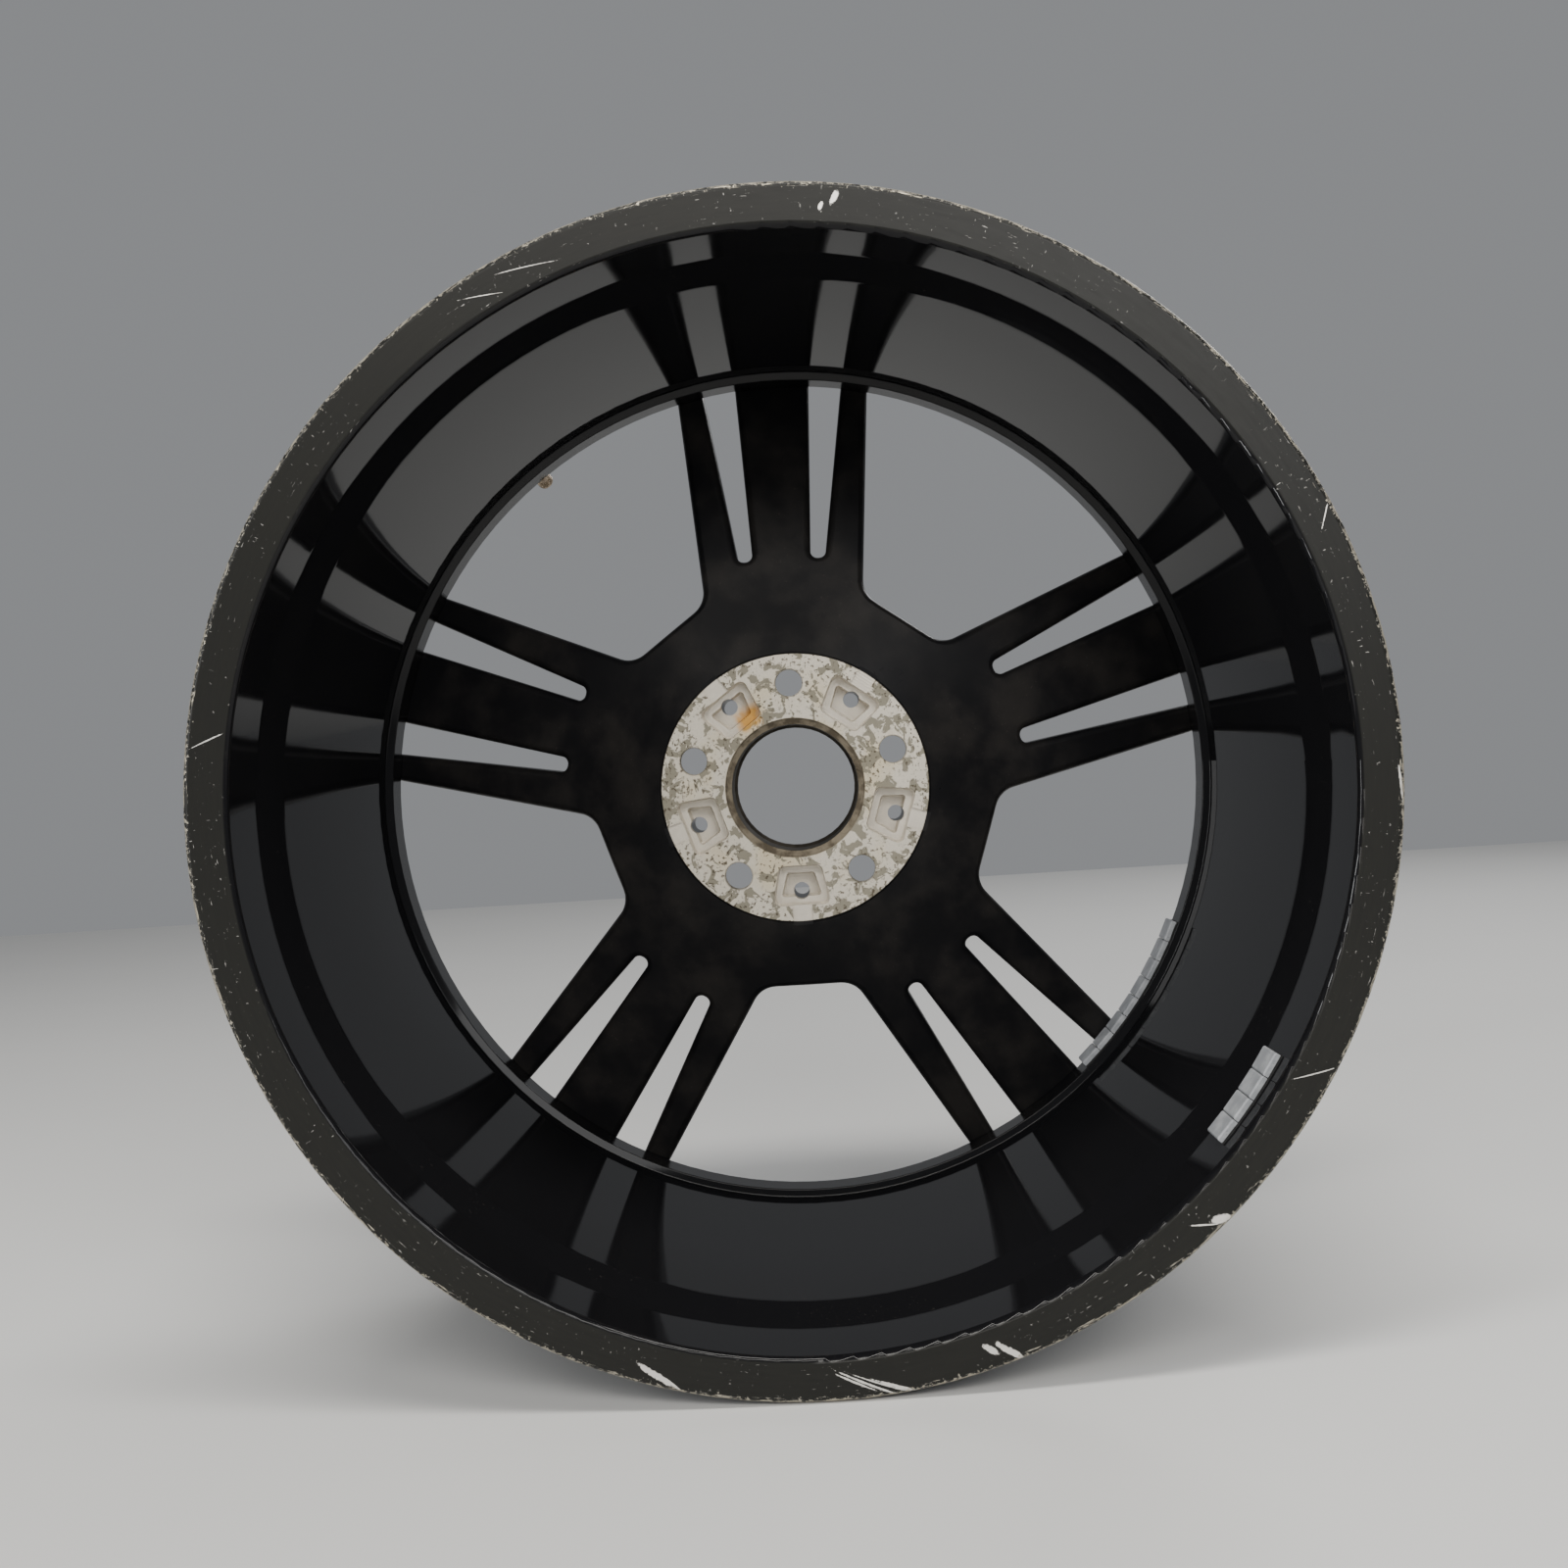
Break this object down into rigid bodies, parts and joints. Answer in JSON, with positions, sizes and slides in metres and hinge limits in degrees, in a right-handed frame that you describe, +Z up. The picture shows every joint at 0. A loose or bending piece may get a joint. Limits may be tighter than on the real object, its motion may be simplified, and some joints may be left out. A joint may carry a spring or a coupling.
{
  "type": "alloy wheel",
  "caption": "One-piece alloy wheel with triple spokes, deep inboard barrel and lightened hub pad, with clamp-in valve, tyre pressure sensor and stick-on balance weights.",
  "frame": {"origin": "centre of the bolt circle on the hub's mounting face", "axes": "+Y along the axle towards the street side, -Y out of the mounting face towards the hub, +Z up through the middle of one spoke, +X to the right seen from the inboard side"},
  "size_m": [0.5731, 0.2664, 0.5732],
  "materials": {
    "paint_and_bare_alloy": "forged aluminium under gloss black paint, bare at the hub pad",
    "weight_steel": "matte grey coat",
    "foam_tape": "foam",
    "valve_alloy": "satin",
    "cap_metal": "dull, weathered",
    "seal_rubber": "matte",
    "core_brass": "turned",
    "spring_steel": "bright",
    "sensor_plastic": "moulded",
    "board_green": "satin",
    "cell_steel": "bright"
  },
  "bodies": {
    "wheel": {"wheel_forging": "paint_and_bare_alloy", "weight_outboard_1": "weight_steel", "weight_outboard_2": "weight_steel", "weight_outboard_3": "weight_steel", "weight_outboard_4": "weight_steel", "weight_outboard_5": "weight_steel", "weight_outboard_6": "weight_steel", "weight_outboard_7": "weight_steel", "weight_outboard_8": "weight_steel", "weight_inboard_1": "weight_steel", "weight_inboard_2": "weight_steel", "weight_inboard_3": "weight_steel", "weight_inboard_4": "weight_steel", "tape_outboard": "foam_tape", "tape_inboard": "foam_tape", "valve_stem": "valve_alloy", "valve_washer": "valve_alloy", "valve_nut": "valve_alloy", "valve_grommet": "seal_rubber", "valve_core_gasket": "seal_rubber", "valve_core_body": "core_brass", "valve_core_spring": "spring_steel", "sensor_screw": "spring_steel", "sensor_case": "sensor_plastic", "sensor_lid": "sensor_plastic", "sensor_board": "board_green", "sensor_cell": "cell_steel"},
    "cap_seal": {"valve_cap_liner": "seal_rubber"},
    "cap": {"valve_cap": "cap_metal"},
    "core_pin": {"valve_core_pin": "core_brass", "valve_core_seal": "seal_rubber"}
  },
  "joints": [
    {"name": "cap_slide", "type": "slide", "parent": "wheel", "child": "cap_seal", "axis": [0.3352, 0.8215, -0.4613], "range_m": [0, 0.0052]},
    {"name": "cap_turn", "type": "hinge", "parent": "cap_seal", "child": "cap", "pos_m": [-0.15171, 0.0411, 0.20881], "axis": [0.3352, 0.8215, -0.4613], "range_deg": [0, 2360]},
    {"name": "core_pin_press", "type": "slide", "parent": "wheel", "child": "core_pin", "axis": [-0.3352, -0.8215, 0.4613], "range_m": [0, 0.0011], "stiffness_N_per_m": 120, "springref_m": -0.002, "deforming": ["valve_core_spring"]}
  ],
  "couplings": [
    {"joint": "cap_turn", "follows": "cap_slide", "rad_per_m": 7913.3}
  ]
}
